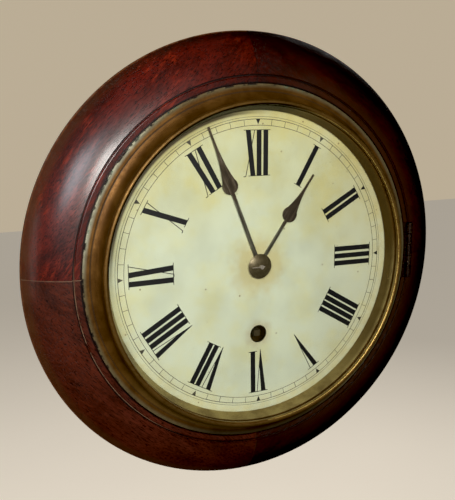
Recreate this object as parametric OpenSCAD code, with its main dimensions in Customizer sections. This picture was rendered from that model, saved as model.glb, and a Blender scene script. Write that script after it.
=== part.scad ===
// Round-dial wall clock with a fusee movement: turned wooden surround, hinged brass bezel,
// painted dial, spring-driven train with an anchor escapement, and a box case behind.
// Built about the dial centre in working axes: x to the right, y up, z out from the wall.
// The module placed() turns those axes so that up is +Z and the dial faces -Y.

/* [Surround] */
// Outside diameter of the wooden surround
surround_d = 297.4; // [290:0.2:304]
// Distance from the wall to the front of the dial
dial_z = 105; // [103:0.5:112]
// Radius of the convex face of the surround in cross-section
crown_arc = 51.3; // [49:0.1:54]
// Radius of the quirk that separates the crown from the inner fillet
quirk_r = 120.9; // [120.5:0.1:121.2]

/* [Dial and bezel] */
// Radius of the dial opening seen inside the sight ring
sight_r = 99.8; // [98:0.1:100.5]
// Height of the top of the bezel bead above the dial
bezel_h = 13.4; // [13:0.1:15]
// Radius of the outer edge of the bezel flange
flange_r = 115.7; // [115:0.1:116]
// Distance from the dial centre down to the winding hole
winding_drop = 46.6; // [46:0.1:47]
// Radius of the winding hole
winding_hole_r = 6; // [5.5:0.1:6.5]

/* [Hands] */
// Length of the minute hand from the centre to its tip
minute_len = 96.3; // [90:0.5:97]
// Length of the hour hand from the centre to its tip
hour_len = 70.4; // [64:0.5:74]
// Direction of the minute hand, clockwise from twelve
minute_deg = -21.2; // [-180:0.1:180]
// Direction of the hour hand, clockwise from twelve
hour_deg = 35; // [-180:0.1:180]
// Widest part of the teardrop on each hand
blade_w = 10.4; // [8:0.2:12]

/* [Movement] */
// Thickness of the brass plates
plate_t = 3; // [2.5:0.1:3]
// Clear distance between the two plates
plate_gap = 42; // [42:0.5:42.5]
// Teeth of the great wheel
great_teeth = 96; // [96:1:96]
// Teeth of the escape wheel
escape_teeth = 30; // [30:1:30]
// Radius of the escape wheel at its tooth tips
escape_r = 17; // [16.5:0.1:17.2]
// Radius of the pendulum bob
bob_r = 22; // [18:0.5:24]
// Distance from the pivot down to the middle of the bob
pendulum_len = 148; // [144:0.5:150]

/* [Case] */
// Half the width of the box
box_half = 86; // [84:0.5:88]
// Height of the top of the box above the dial centre
box_top = 92; // [90:0.5:94]
// Radius of the curved bottom of the box about the dial centre
box_round_r = 137; // [136:0.5:139]
// Thickness of the box boards
board_t = 9; // [8:0.5:9]

/* [Hidden] */
$fn = 96;
eps = 0.01;
run = 0.05;
wood_color = [0.24, 0.05, 0.03];
pine_color = [0.45, 0.30, 0.17];
brass_color = [0.55, 0.42, 0.18];
steel_color = [0.30, 0.29, 0.27];
blued_color = [0.13, 0.11, 0.10];
dial_color = [0.80, 0.82, 0.66];
glass_color = [0.85, 0.92, 0.90, 0.3];

// Surround section, radius and distance from the wall
surround_back = dial_z - 15;
rim_r = surround_d / 2;
crown_r = rim_r - 37.8;
crown_z = surround_back - 32.7;
opening_r = 94;
rebate_r = 108.5;
dial_t = 1.2;
dial_back = dial_z - dial_t;
land_z = dial_z + 0.4;
recess_r = flange_r + 0.5;
fillet_z = dial_z + 1.6;
quirk_w = 1.3;
joint_angles = [-1, 90.5, 178.5, 268.7];

// Bezel section
flange_z = dial_z + 0.7;
flange_t = 1.1;
cove_r = 8.9;
cove_c = [flange_r - 2.3, dial_z + 10.6];
bead_r = 1.8;
bead_c = [flange_r - 11.4, dial_z + bezel_h - bead_r];
bore_r = 103.6;
glass_z = dial_z + 9;
glass_t = 1.6;
dial_r = 108.2;
stud_x = 111.4;

// Bezel hinge at three o'clock
hinge_x = 121;
hinge_z = dial_z + 1.4;
hinge_len = 40;
knuckle_r = 2;
hinge_pin_r = 0.8;
leaf_t = 1;

// Box
back_t = 8;
box_front = surround_back;
box_flat_y = -134.9;
inner_half = box_half - board_t;
inner_round_r = box_round_r - board_t;
peg_r = 3.5;
peg_z = 80;
peg_y = [74, -84];
block_w = 11.7;

// Side door and bottom door, with their butt hinges and turn catches
side_door_y = [-60, 30];
side_door_z = [22, 70];
bottom_door_x = 20;
bottom_door_z = [18, 58];
door_gap = 0.8;
free_gap = 1.5;
butt_len = 18;
butt_w = 9;
butt_r = 1.6;
butt_axis = 1.7;
flap_t = 5.5;
flap_axis = [3.4, -flap_t / 2];
catch_len = 20;
catch_w = 5;
catch_t = 1.8;

// Movement, positions of the plates and the arbors
front_z = dial_z - 20;
back_z = front_z - plate_gap - plate_t;
inside_z = back_z + plate_t;
plate_front = front_z + plate_t;
great_m = 2 * winding_drop / (great_teeth + 8);
centre_teeth = 84;
centre_m = 0.68;
third_teeth = 78;
third_m = 0.6;
third_x = 18;
third_reach = (centre_teeth + 7) * centre_m / 2;
third_y = sqrt(third_reach * third_reach - third_x * third_x);
escape_reach = (third_teeth + 6) * third_m / 2;
escape_y = third_y + sqrt(escape_reach * escape_reach - third_x * third_x);
pallet_y = escape_y + escape_r * sqrt(2);
barrel_c = [-38, -20];
barrel_r = 24.5;
fusee_c = [0, -winding_drop];
fusee_big_r = 19;
fusee_small_r = 9;
fusee_turns = 16;
ratchet_r = 15;
click_angle = 36;
click_gap = 0.15;
motion_reach = 21.6;
motion_angle = -30;
pillar_c = [[50, 62], [50, -52]];
foot_c = [[46, 50], [40, -64]];
pillar_r = 4.5;
foot_r = 3;
pin_r = 0.7;

// Levels of the train between the plates
great_z = inside_z + 3;
great_t = 3;
fusee_z = great_z + great_t + 2.5;
fusee_h = 27;
ratchet_z = great_z + great_t + 0.2;
barrel_z = inside_z + 7.5;
barrel_h = 28.5;
centre_z = front_z - 4;
wheel_t = 1.8;
third_z = inside_z + 9;
escape_z = inside_z + 17;

// Pendulum
bob_z = 24;
bob_t = 13;
rod_r = 1.5;
rod_low = pendulum_len + 36;
fork_drop = 52;
nut_h = 5;

// Hands and their pipes
arbor_tip_z = dial_z + 6.2;
arbor_tip_r = 1.3;
cannon_r = 2.1;
hour_pipe_r = 3.2;
hour_hand_z = dial_z + 0.6;
minute_hand_z = dial_z + 1.9;
hand_t = 0.8;
collet_r = 8.2;
collet_h = 2;

// Hanging plate
hang_hole_r = 4;
hang_hole_y = 102;
hang_t = 2.5;

// ---- Helpers -------------------------------------------------------------------------

// Working axes to the part's own axes: y becomes up, z becomes out from the wall
module placed() {
    rotate([90, 0, 0]) children();
}

module at_mirrored_x() {
    children();
    mirror([1, 0, 0]) children();
}

module rod(r, z0, z1) {
    translate([0, 0, z0]) cylinder(r = r, h = z1 - z0);
}

module ring(outer, inner, z0, z1) {
    difference() {
        rod(outer, z0, z1);
        rod(inner, z0 - 1, z1 + 1);
    }
}

function polar(r, a) = [r * cos(a), r * sin(a)];

function arc(r, a0, a1, n) = [for (i = [0:n]) polar(r, a0 + (a1 - a0) * i / n)];

// Outline of a gear whose first tooth points along x
function gear_points(teeth, m, add, ded) = [
    for (i = [0:teeth - 1], k = [0:5])
        polar(
            k == 0 || k == 5 ? (teeth / 2 - ded) * m : k == 1 || k == 4 ? teeth / 2 * m
                : (teeth / 2 + add) * m,
            360 / teeth * (i + [-0.28, -0.18, -0.07, 0.07, 0.18, 0.28][k])
        )
];

// Crossed-out wheel with arms, lying from z = 0 to z = t
module wheel(teeth, m, t, bore, arms = 4, hub = 5, rim = 3) {
    root_r = (teeth / 2 - 1.3) * m;
    rim_r = root_r - rim;
    arm = 14;
    difference() {
        linear_extrude(t) polygon(gear_points(teeth, m, 0.8, 1.3));
        for (k = [0:arms - 1]) {
            rotate(360 / arms * k)
                translate([0, 0, -1])
                    linear_extrude(t + 2)
                        polygon(concat(
                            arc(rim_r, arm * 0.5, 360 / arms - arm * 0.5, 10),
                            arc(hub + 1, 360 / arms - arm * 1.6, arm * 1.6, 6)
                        ));
        }
        translate([0, 0, -1]) cylinder(r = bore, h = t + 2);
    }
}

module pinion(leaves, m, t) {
    linear_extrude(t) polygon(gear_points(leaves, m, 0.55, 1.2));
}

// Turns a wheel so that a tooth points at angle a, or a pinion so that a gap does
module gap_towards(leaves, a) {
    rotate(a + 180 / leaves) children();
}

// One knuckle barrel in n pieces along y, every other one, starting with first
module knuckles(len, n, r, bore, first) {
    step = len / n;
    for (i = [first:2:n - 1]) {
        translate([0, -len / 2 + step * i + 0.15, 0])
            rotate([-90, 0, 0])
                difference() {
                    cylinder(r = r, h = step - 0.3);
                    if (bore > 0) translate([0, 0, -1]) cylinder(r = bore, h = step + 1);
                }
    }
}

// Door axes: x across the door from its hinge edge, y along the hinge, z out of its face
module side_door_place() {
    translate([box_half, (side_door_y[0] + side_door_y[1]) / 2, side_door_z[1]])
        rotate([0, 90, 0]) children();
}

module bottom_door_place() {
    translate([0, box_flat_y, bottom_door_z[0]]) rotate([90, 0, 0]) rotate([0, 0, 90]) children();
}

// Tabs that join a leaf to its own knuckles
module leaf_tabs(first) {
    step = butt_len / 3;
    for (i = [first:2:2]) {
        translate([0, -butt_len / 2 + step * i + 0.15, 0.15]) cube([2.2, step - 0.3, leaf_t - 0.15]);
    }
}

// Door half of a butt hinge
module butt_moving() {
    difference() {
        union() {
            translate([0, 0, butt_axis]) knuckles(butt_len, 3, butt_r, 0, 1);
            leaf_tabs(1);
            translate([2, -butt_len / 2, 0]) cube([butt_w - 2, butt_len, leaf_t]);
        }
        translate([0, -butt_len, butt_axis]) rotate([-90, 0, 0]) cylinder(r = 0.7 + run, h = 2 * butt_len);
    }
}

// Case half of a butt hinge, with its pin
module butt_fixed() {
    union() {
        translate([0, 0, butt_axis]) knuckles(butt_len, 3, butt_r, 0, 0);
        mirror([1, 0, 0]) leaf_tabs(0);
        translate([-butt_w, -butt_len / 2, 0]) cube([butt_w - 2, butt_len, leaf_t]);
        translate([0, -butt_len / 2 + 1, butt_axis])
            rotate([-90, 0, 0]) cylinder(r = 0.7, h = butt_len - 2);
    }
}

module at_side_hinges() {
    for (s = [-1, 1]) side_door_place() translate([0, s * 28, 0]) children();
}

module countersunk_screw(head_r, shank_r, len) {
    translate([0, 0, -head_r]) cylinder(r1 = 0.2, r2 = head_r, h = head_r);
    translate([0, 0, -len]) cylinder(r = shank_r, h = len - head_r / 2);
}

// ---- Surround and case ---------------------------------------------------------------

module surround_section() {
    difference() {
        union() {
            intersection() {
                translate([crown_r, crown_z]) circle(crown_arc);
                translate([quirk_r, surround_back]) square([rim_r - quirk_r, 40]);
            }
            translate([opening_r, surround_back])
                square([quirk_r - opening_r - 1.5, fillet_z - surround_back]);
            translate([quirk_r - 1.5, fillet_z - 0.9]) circle(0.9);
            translate([quirk_r - 2, surround_back]) square([2.5, fillet_z - 0.9 - surround_back]);
        }
        translate([quirk_r - quirk_w / 2, dial_z + 0.9]) square([quirk_w, 20]);
        translate([opening_r - 1, land_z]) square([recess_r - opening_r + 1, 20]);
        translate([opening_r - 1, dial_back]) square([rebate_r - opening_r + 1, 20]);
    }
}

module surround_quadrant(k) {
    from = joint_angles[k];
    to = k == 3 ? joint_angles[0] + 360 : joint_angles[k + 1];
    color(wood_color) placed() difference() {
        rotate(from) rotate_extrude(angle = to - from) surround_section();
        bezel_hinge_recess();
        bezel_stud_hole();
    }
}

module surround_upper_right() {
    surround_quadrant(0);
}

module surround_upper_left() {
    surround_quadrant(1);
}

module surround_lower_left() {
    surround_quadrant(2);
}

module surround_lower_right() {
    surround_quadrant(3);
}

module bezel_hinge_recess() {
    low = hinge_z - knuckle_r - 0.5;
    translate([rebate_r - 1, -hinge_len / 2 - 0.3, low])
        cube([hinge_x + knuckle_r + 0.4 - rebate_r + 1, hinge_len + 0.6, 20]);
}

// Slotted hole that the bezel's stud snaps into
module bezel_stud_hole() {
    translate([-stud_x, 0, dial_z - 7]) cylinder(r = 1.9, h = 20);
}

module surround_blocks() {
    color(pine_color) placed() at_mirrored_x() for (y = peg_y) difference() {
        translate([inner_half - 0.3 - block_w, y - 9 - (y < 0 ? 8 : 0), 71])
            cube([block_w, y < 0 ? 34 : 18, surround_back - 71]);
        translate([inner_half - 11, y, peg_z]) rotate([0, 90, 0]) cylinder(r = peg_r, h = 30);
    }
}

module case_pegs() {
    color(pine_color) placed() at_mirrored_x() for (y = peg_y)
        translate([inner_half - 10.5, y, peg_z]) rotate([0, 90, 0]) cylinder(r = peg_r, h = 23);
}

module box_side() {
    difference() {
        intersection() {
            translate([inner_half, -120, back_t]) cube([board_t, 120 + box_top, box_front - back_t]);
            rod(inner_round_r, 0, box_front + 1);
        }
        for (y = peg_y)
            translate([inner_half - 1, y, peg_z]) rotate([0, 90, 0]) cylinder(r = peg_r, h = 20);
    }
}

module case_side_left() {
    color(wood_color) placed() mirror([1, 0, 0]) box_side();
}

module case_side_right() {
    color(wood_color) placed() difference() {
        box_side();
        translate([inner_half - 1, side_door_y[0], side_door_z[0]])
            cube([board_t + 2, side_door_y[1] - side_door_y[0], side_door_z[1] - side_door_z[0]]);
    }
}

module case_top() {
    color(wood_color) placed()
        translate([-inner_half, box_top - board_t, back_t])
            cube([2 * inner_half, board_t, box_front - back_t]);
}

module case_bottom() {
    color(wood_color) placed() difference() {
        intersection() {
            ring(box_round_r, inner_round_r, back_t, box_front);
            translate([-box_half, box_flat_y, back_t]) cube([2 * box_half, 60, box_front - back_t]);
        }
        translate([-bottom_door_x, -box_round_r, bottom_door_z[0]])
            cube([2 * bottom_door_x, 2 * board_t, bottom_door_z[1] - bottom_door_z[0]]);
    }
}

module backboard() {
    color(pine_color) placed() difference() {
        intersection() {
            translate([-box_half, box_flat_y, 0]) cube([2 * box_half, box_top - box_flat_y, back_t]);
            rod(box_round_r, -1, back_t + 1);
        }
        translate([-14.2, 62, -1]) cube([28.4, 60, hang_t + 1]);
    }
}

module hanging_plate() {
    color(brass_color) placed() difference() {
        union() {
            translate([-14, 62.2, 0]) cube([28, hang_hole_y - 62.2, hang_t]);
            translate([0, hang_hole_y, 0]) cylinder(r = 14, h = hang_t);
        }
        translate([0, hang_hole_y, -1]) cylinder(r = hang_hole_r, h = hang_t + 2);
        for (p = [[-9, 82], [9, 82], [-9, 68], [9, 68]])
            translate([p[0], p[1], 0]) mirror([0, 0, 1]) countersunk_screw(2.6, 1.2, 7);
    }
}

// Screws in the hanging plate, the dial edge, the bezel hinge and the turn catches
module wood_screws() {
    color(steel_color) placed() {
        for (p = [[-9, 82], [9, 82], [-9, 68], [9, 68]])
            translate([p[0], p[1], 0]) mirror([0, 0, 1]) countersunk_screw(2.6, 1.2, 7);
        for (a = [45:90:315])
            rotate(a) translate([105.2, 0, dial_z]) countersunk_screw(2, 0.9, 10);
        for (y = [-14, 0, 14])
            translate([114, y, hinge_leaf_top()]) countersunk_screw(2, 0.9, 9);
        side_catch_place() catch_screw();
        bottom_catch_place() catch_screw();
    }
}

module catch_screw() {
    rod(1.4, -6, catch_t + 0.3);
    rod(2.6, catch_t + 0.3, catch_t + 1.3);
}

module side_catch_place() {
    side_door_place() translate([side_door_z[1] - side_door_z[0] + 6, 0, 0]) children();
}

module bottom_catch_place() {
    bottom_door_place() translate([bottom_door_z[1] - bottom_door_z[0] + 6, 0, 0]) children();
}

// Turn button lying along the door edge; a quarter turn brings it over the door
module turn_catch() {
    difference() {
        union() {
            translate([-catch_w / 2, -catch_len / 2, 0.3]) cube([catch_w, catch_len, catch_t - 0.3]);
            rod(3, 0.2, catch_t);
        }
        rod(1.4 + run, -1, catch_t + 1);
    }
}

module side_catch() {
    color(brass_color) placed() side_catch_place() turn_catch();
}

module bottom_catch() {
    color(brass_color) placed() bottom_catch_place() turn_catch();
}

module side_door() {
    w = side_door_z[1] - side_door_z[0];
    h = side_door_y[1] - side_door_y[0];
    color(wood_color) placed() side_door_place()
        translate([door_gap, -h / 2 + door_gap, -board_t + 0.5])
            cube([w - door_gap - free_gap, h - 2 * door_gap, board_t - 0.5]);
}

// Bottom flap, with a rounded edge that turns on a steel wire
module bottom_door() {
    w = bottom_door_z[1] - bottom_door_z[0];
    half = bottom_door_x - door_gap;
    color(wood_color) placed() bottom_door_place() difference() {
        union() {
            translate([flap_axis[0], -half, -flap_t]) cube([w - flap_axis[0] - free_gap, 2 * half, flap_t]);
            flap_wire(flap_t / 2, half);
        }
        flap_wire(0.75 + run, half + 1);
    }
}

module flap_wire(r, half) {
    translate([flap_axis[0], -half, flap_axis[1]]) rotate([-90, 0, 0]) cylinder(r = r, h = 2 * half);
}

module side_door_leaves() {
    color(brass_color) placed() at_side_hinges() butt_moving();
}

// Case halves of the side door's hinges, and the wire that the bottom flap turns on
module door_hinges() {
    color(brass_color) placed() {
        at_side_hinges() butt_fixed();
        bottom_door_place() flap_wire(0.75, bottom_door_x + 4);
    }
}

// ---- Dial and bezel ------------------------------------------------------------------

module dial_plate() {
    color(dial_color) placed() difference() {
        rod(dial_r, dial_back, dial_z);
        rod(hour_pipe_r + 0.8, 0, 2 * dial_z);
        translate(concat(fusee_c, [0])) rod(winding_hole_r, 0, 2 * dial_z);
        for (a = [45:90:315])
            rotate(a) translate([105.2, 0, dial_z]) countersunk_screw(2, 0.9, 10);
    }
}

module dial_feet() {
    color(brass_color) placed() at_mirrored_x() for (p = foot_c) translate([p[0], p[1], 0]) {
        difference() {
            union() {
                rod(foot_r, plate_front, dial_back);
                rod(foot_r - 1, front_z - 4, plate_front);
            }
            foot_pin_hole();
        }
    }
}

module foot_pin_hole() {
    translate([0, 0, front_z - 1.2]) rotate([90, 0, 0]) translate([0, 0, -6]) cylinder(r = pin_r, h = 12);
}

module bezel_ring() {
    color(brass_color) placed() difference() {
        rotate_extrude() union() {
            difference() {
                translate([bore_r, flange_z]) square([flange_r - bore_r, cove_c[1] - flange_z]);
                translate(cove_c) circle(cove_r);
                translate([cove_c[0] - 2.4, flange_z + flange_t]) square([20, 20]);
            }
            translate([bore_r, glass_z + glass_t])
                square([1.6, cove_c[1] - glass_z - glass_t + 0.6]);
            difference() {
                translate(bead_c) circle(bead_r);
                translate([0, 0]) square([bore_r, glass_z + glass_t]);
            }
        }
        translate([-stud_x, 0, flange_z - 1]) cylinder(r = 1, h = 1.7);
    }
}

module sight_ring() {
    color(brass_color) placed() rotate_extrude() polygon([
        [sight_r, dial_z + 1.3], [bore_r, dial_z + 1.3], [bore_r, dial_z + 2.1],
        [sight_r + 1, dial_z + 2.1], [bore_r - 0.4, glass_z - 0.2], [bore_r - 1.3, glass_z - 0.2],
        [sight_r, dial_z + 1.9]
    ]);
}

module bezel_glass() {
    color(glass_color) placed() rod(bore_r - 0.1, glass_z, glass_z + glass_t);
}

function hinge_leaf_top() = hinge_z - knuckle_r + 0.5;

// Bezel half of the hinge, soldered under the flange
module bezel_leaf() {
    top = flange_z;
    bottom = hinge_leaf_top() + 0.15;
    step = hinge_len / 5;
    color(brass_color) placed() difference() {
        union() {
            translate([hinge_x, 0, hinge_z]) knuckles(hinge_len, 5, knuckle_r, 0, 1);
            for (i = [1, 3])
                translate([112, -hinge_len / 2 + step * i + 0.15, bottom])
                    cube([hinge_x - 113, step - 0.3, top - bottom]);
            translate([109, -hinge_len / 2, bottom]) cube([5, hinge_len, top - bottom]);
        }
        translate([hinge_x, -hinge_len, hinge_z])
            rotate([-90, 0, 0]) cylinder(r = hinge_pin_r + run, h = 2 * hinge_len);
    }
}

// Fixed half of the bezel hinge, let into the surround, with its pin
module surround_leaf() {
    top = hinge_leaf_top();
    color(brass_color) placed() difference() {
        union() {
            translate([hinge_x, 0, hinge_z]) knuckles(hinge_len, 5, knuckle_r, 0, 0);
            translate([109, -hinge_len / 2, top - leaf_t]) cube([9, hinge_len, leaf_t]);
            for (i = [0, 2, 4])
                translate([117, -hinge_len / 2 + hinge_len / 5 * i + 0.15, top - leaf_t])
                    cube([hinge_x - 117, hinge_len / 5 - 0.3, leaf_t]);
            translate([hinge_x, -hinge_len / 2 + 1, hinge_z])
                rotate([-90, 0, 0]) cylinder(r = hinge_pin_r, h = hinge_len - 2);
        }
        for (y = [-14, 0, 14]) translate([114, y, top]) countersunk_screw(2, 0.9, 9);
    }
}

// Stud under the bezel at nine o'clock, a snap fit in the surround
module bezel_stud() {
    color(brass_color) placed() translate([-stud_x, 0, 0]) {
        rod(1, dial_z - 4, flange_z + 0.7);
        rod(1.6, dial_z - 6, dial_z - 4);
    }
}

// ---- Frame of the movement -----------------------------------------------------------

module plate_outline() {
    polygon([
        [54, 72], [62, 60], [62, -50], [26, -89],
        [-26, -89], [-62, -50], [-62, 60], [-54, 72]
    ]);
}

module pivot_hole(p, r) {
    translate([p[0], p[1], 0]) rod(r + run, 0, dial_z);
}

module front_plate() {
    color(brass_color) placed() {
        difference() {
            translate([0, 0, front_z]) linear_extrude(plate_t) plate_outline();
            pivot_hole([0, 0], 1.9);
            pivot_hole([third_x, third_y], 0.7);
            pivot_hole([0, escape_y], 0.7);
            pivot_hole([0, pallet_y], 0.7);
            pivot_hole(fusee_c, 3);
            pivot_hole(barrel_c, 2.4 - run);
            at_mirrored_x() for (p = pillar_c) pivot_hole(p, 2.4 - run);
            at_mirrored_x() for (p = foot_c) pivot_hole(p, foot_r - 1 - run);
        }
        // post that carries the minute wheel
        rotate(motion_angle) translate([motion_reach, 0, 0]) rod(1.3, plate_front, plate_front + 9);
    }
}

module back_plate() {
    color(brass_color) placed() difference() {
        translate([0, 0, back_z]) linear_extrude(plate_t) plate_outline();
        pivot_hole([0, 0], 1.2);
        pivot_hole([third_x, third_y], 0.7);
        pivot_hole([0, escape_y], 0.7);
        pivot_hole(fusee_c, 2.4);
        pivot_hole(barrel_c, 2.4 - run);
        translate([0, pallet_y - 8, 0]) rod(5, 0, dial_z);
        translate([-5, pallet_y - 8, back_z - 1]) cube([10, 20, plate_t + 2]);
    }
}

module pillars() {
    color(brass_color) placed() at_mirrored_x() for (p = pillar_c) translate([p[0], p[1], 0]) {
        difference() {
            union() {
                rod(pillar_r, inside_z, front_z);
                translate([0, 0, inside_z + plate_gap / 2 - 2]) cylinder(r = pillar_r + 0.8, h = 4);
                rod(2.4, front_z, plate_front + 4);
            }
            pillar_pin_hole();
        }
    }
}

module pillar_pin_hole() {
    translate([0, 0, plate_front + 1.2]) rotate([90, 0, 0]) translate([0, 0, -6]) cylinder(r = pin_r, h = 12);
}

module taper_pins() {
    color(steel_color) placed() at_mirrored_x() {
        for (p = pillar_c) translate([p[0], p[1], 0]) pillar_pin_hole();
        for (p = foot_c) translate([p[0], p[1], 0]) foot_pin_hole();
    }
}

// Cock behind the back plate: carries the pallet arbor and the pendulum
module back_cock() {
    color(brass_color) placed() difference() {
        union() {
            translate([-22, pallet_y - 5, 28]) cube([44, 10, 3]);
            at_mirrored_x() translate([14, pallet_y - 5, 28]) cube([8, 10, back_z - 28]);
            translate([-5, pallet_y + 0.6, 20]) cube([10, 4.4, 8 + eps]);
        }
        translate([0, pallet_y, 0]) rod(0.8 + run, 27, 32);
        translate([-0.3, pallet_y - 6, 19]) cube([0.6, 12, 8.5]);
        at_mirrored_x() translate([18, pallet_y, 27]) cylinder(r = 1.5, h = 20);
    }
}

module movement_screws() {
    color(blued_color) placed() {
        at_mirrored_x() translate([18, pallet_y, 0]) {
            rod(1.5, 28, inside_z);
            rod(3, 26.4, 28);
        }
        translate([barrel_c[0] + 11, barrel_c[1], 0]) {
            rod(1, front_z + 0.5, plate_front + 3.6);
            rod(2, plate_front + 3.6, plate_front + 4.6);
        }
    }
}

// ---- Mainspring barrel and fusee -----------------------------------------------------

module barrel_arbor() {
    color(steel_color) placed() translate(concat(barrel_c, [0])) {
        rod(2.4, back_z - 1, plate_front + 4);
        rod(7, barrel_z + 2, barrel_z + barrel_h - 2);
    }
}

module setup_ratchet() {
    color(brass_color) placed() translate(concat(barrel_c, [0])) {
        difference() {
            translate([0, 0, plate_front + 0.6])
                linear_extrude(2.4) ratchet_outline(24, 7.6);
            rod(2.4, 0, dial_z);
        }
        difference() {
            translate([8, -2, plate_front + 0.6]) cube([5.5, 4, 2.4]);
            translate([11, 0, 0]) rod(1, 0, dial_z);
        }
    }
}

// Strip spring wound from the arbor out to the drum
module mainspring() {
    turns = 9;
    steps = turns * 20;
    in_r = 8.2;
    out_r = 22.6;
    strip = 0.45;
    function spiral(i, off) = polar(in_r + off + (out_r - in_r) * i / steps, 18 * i);
    color(blued_color) placed() translate([barrel_c[0], barrel_c[1], barrel_z + 2.6])
        linear_extrude(barrel_h - 5.2)
            polygon(concat(
                [for (i = [0:steps]) spiral(i, 0)],
                [for (i = [steps:-1:0]) spiral(i, strip)]
            ));
}

module barrel_drum() {
    color(brass_color) placed() translate([barrel_c[0], barrel_c[1], 0]) {
        difference() {
            rod(barrel_r, barrel_z, barrel_z + barrel_h);
            rod(barrel_r - 1.2, barrel_z + 1.6, barrel_z + barrel_h + 1);
            rod(2.4 + run, 0, dial_z);
        }
    }
}

module barrel_cap() {
    color(brass_color) placed() translate([barrel_c[0], barrel_c[1], 0])
        ring(barrel_r - 1.2, 2.4 + run, barrel_z + barrel_h - 1.6, barrel_z + barrel_h);
}

function fusee_radius(t) = fusee_big_r * fusee_small_r
    / (fusee_small_r + (fusee_big_r - fusee_small_r) * t);

module fusee_cone() {
    pitch = fusee_h / (fusee_turns + 1);
    turned = [for (i = [0:fusee_turns], k = [0:3])
        [fusee_radius(i / (fusee_turns + 1)) - (k == 1 || k == 2 ? 0.7 : 0),
            fusee_z + pitch * (i + [0.05, 0.2, 0.8, 0.95][k])]];
    color(brass_color) placed() translate(concat(fusee_c, [0])) {
        rotate_extrude() polygon(concat(
            [[3, fusee_z - 1], [fusee_big_r + 0.8, fusee_z - 1], [fusee_big_r + 0.8, fusee_z]],
            turned,
            [[fusee_small_r, fusee_z + fusee_h], [13, fusee_z + fusee_h],
                [13, fusee_z + fusee_h + 1.4], [3, fusee_z + fusee_h + 1.4]]
        ));
        translate([0, 0, ratchet_z])
            difference() {
                linear_extrude(fusee_z - 1 - ratchet_z) ratchet_outline(30, ratchet_r);
                translate([0, 0, -1]) cylinder(r = 3, h = 4);
            }
    }
}

module ratchet_outline(teeth, r) {
    polygon([for (i = [0:teeth - 1], k = [0:1]) polar(r * [1, 0.9][k], 360 / teeth * (i + [0, 0.8][k]))]);
}

module fusee_arbor() {
    color(steel_color) placed() translate(concat(fusee_c, [0])) {
        rod(2.4, back_z + 0.2, inside_z);
        rod(3, inside_z, plate_front + 1);
        translate([-2.1, -2.1, plate_front + 1 - eps]) cube([4.2, 4.2, dial_back - plate_front - 1.8]);
    }
}

// Great wheel, free on the fusee arbor, in mesh with the centre pinion above it
module great_wheel() {
    color(brass_color) placed() translate([fusee_c[0], fusee_c[1], great_z])
        rotate(90) wheel(great_teeth, great_m, great_t, 3 + run, 5, 16, 5);
}

// Radius of the great wheel's rim, where the click is riveted
function rim_reach() = (great_teeth / 2 - 1.3) * great_m - 2;

// Spring-steel click that lets the fusee turn one way over the great wheel
module winding_click() {
    color(steel_color) placed() translate([fusee_c[0], fusee_c[1], great_z + great_t]) rotate(click_angle) {
        translate([ratchet_r + click_gap, -4, 0]) cube([1.6, 8, 1.2]);
        translate([ratchet_r + 1, 2.6, 0]) cube([rim_reach() - ratchet_r - 1, 1.4, 1.2]);
        translate([rim_reach() - 3, -4, 0]) cube([5, 8, 1.2]);
    }
}

// Chain from the drum to the top grooves of the fusee
module fusee_chain() {
    lead_z = barrel_z + barrel_h / 2 + 4;
    turns = fusee_turns + 1;
    level = floor((lead_z - 0.8 - fusee_z) / fusee_h * turns) / turns;
    line_r = fusee_radius(level) + 0.15;
    drum_r = barrel_r + 0.1;
    dx = barrel_c[0] - fusee_c[0];
    dy = barrel_c[1] - fusee_c[1];
    span = sqrt(dx * dx + dy * dy);
    lean = atan2(dy, dx);
    tilt = asin((drum_r - line_r) / span);
    run_len = span * cos(tilt);
    color(steel_color) placed() {
        translate([barrel_c[0], barrel_c[1], 0])
            ring(drum_r + 1, drum_r, lead_z - 0.8, barrel_z + barrel_h - 2);
        translate([fusee_c[0], fusee_c[1], 0]) ring(line_r + 1, line_r, lead_z - 0.8, lead_z + 0.8);
        translate([fusee_c[0], fusee_c[1], lead_z - 0.6])
            rotate(lean - 90 + tilt) mirror([1, 0, 0])
                translate([line_r + 0.15, 0, 0]) cube([0.7, run_len, 1.2]);
    }
}

// ---- Going train ---------------------------------------------------------------------

module centre_arbor() {
    color(steel_color) placed() difference() {
        union() {
            rod(1.2, back_z + 0.2, inside_z + 0.3);
            rod(2, inside_z + 0.3, front_z - 0.5);
            rod(1.9, front_z - 0.5, plate_front + 0.4);
            rod(arbor_tip_r, plate_front + 0.4, arbor_tip_z);
            translate([0, 0, great_z - 1]) gap_towards(8, 270) pinion(8, great_m, great_t + 2);
        }
        hand_pin_place();
    }
}

module hand_pin_place() {
    translate([-6.6, 0, minute_hand_z + hand_t + collet_h + 0.45])
        rotate([0, 90, 0]) cylinder(r = 0.4, h = 8.8);
}

module hand_pin() {
    color(steel_color) placed() hand_pin_place();
}

module centre_wheel() {
    color(brass_color) placed() translate([0, 0, centre_z])
        rotate(atan2(third_y, third_x)) wheel(centre_teeth, centre_m, wheel_t, 2, 4, 5, 3);
}

module third_wheel() {
    toward_centre = atan2(-third_y, -third_x);
    toward_escape = atan2(escape_y - third_y, -third_x);
    placed() translate([third_x, third_y, 0]) {
        color(steel_color) {
            rod(0.7, back_z + 0.2, inside_z + 0.3);
            rod(1.5, inside_z + 0.3, front_z - 0.3);
            rod(0.7, front_z - 0.3, plate_front - 0.2);
            translate([0, 0, centre_z - 1.5])
                gap_towards(7, toward_centre) pinion(7, centre_m, wheel_t + 2.6);
        }
        color(brass_color) translate([0, 0, third_z])
            rotate(toward_escape) wheel(third_teeth, third_m, wheel_t, 1.5 - eps, 4, 4, 2.6);
    }
}

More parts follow.
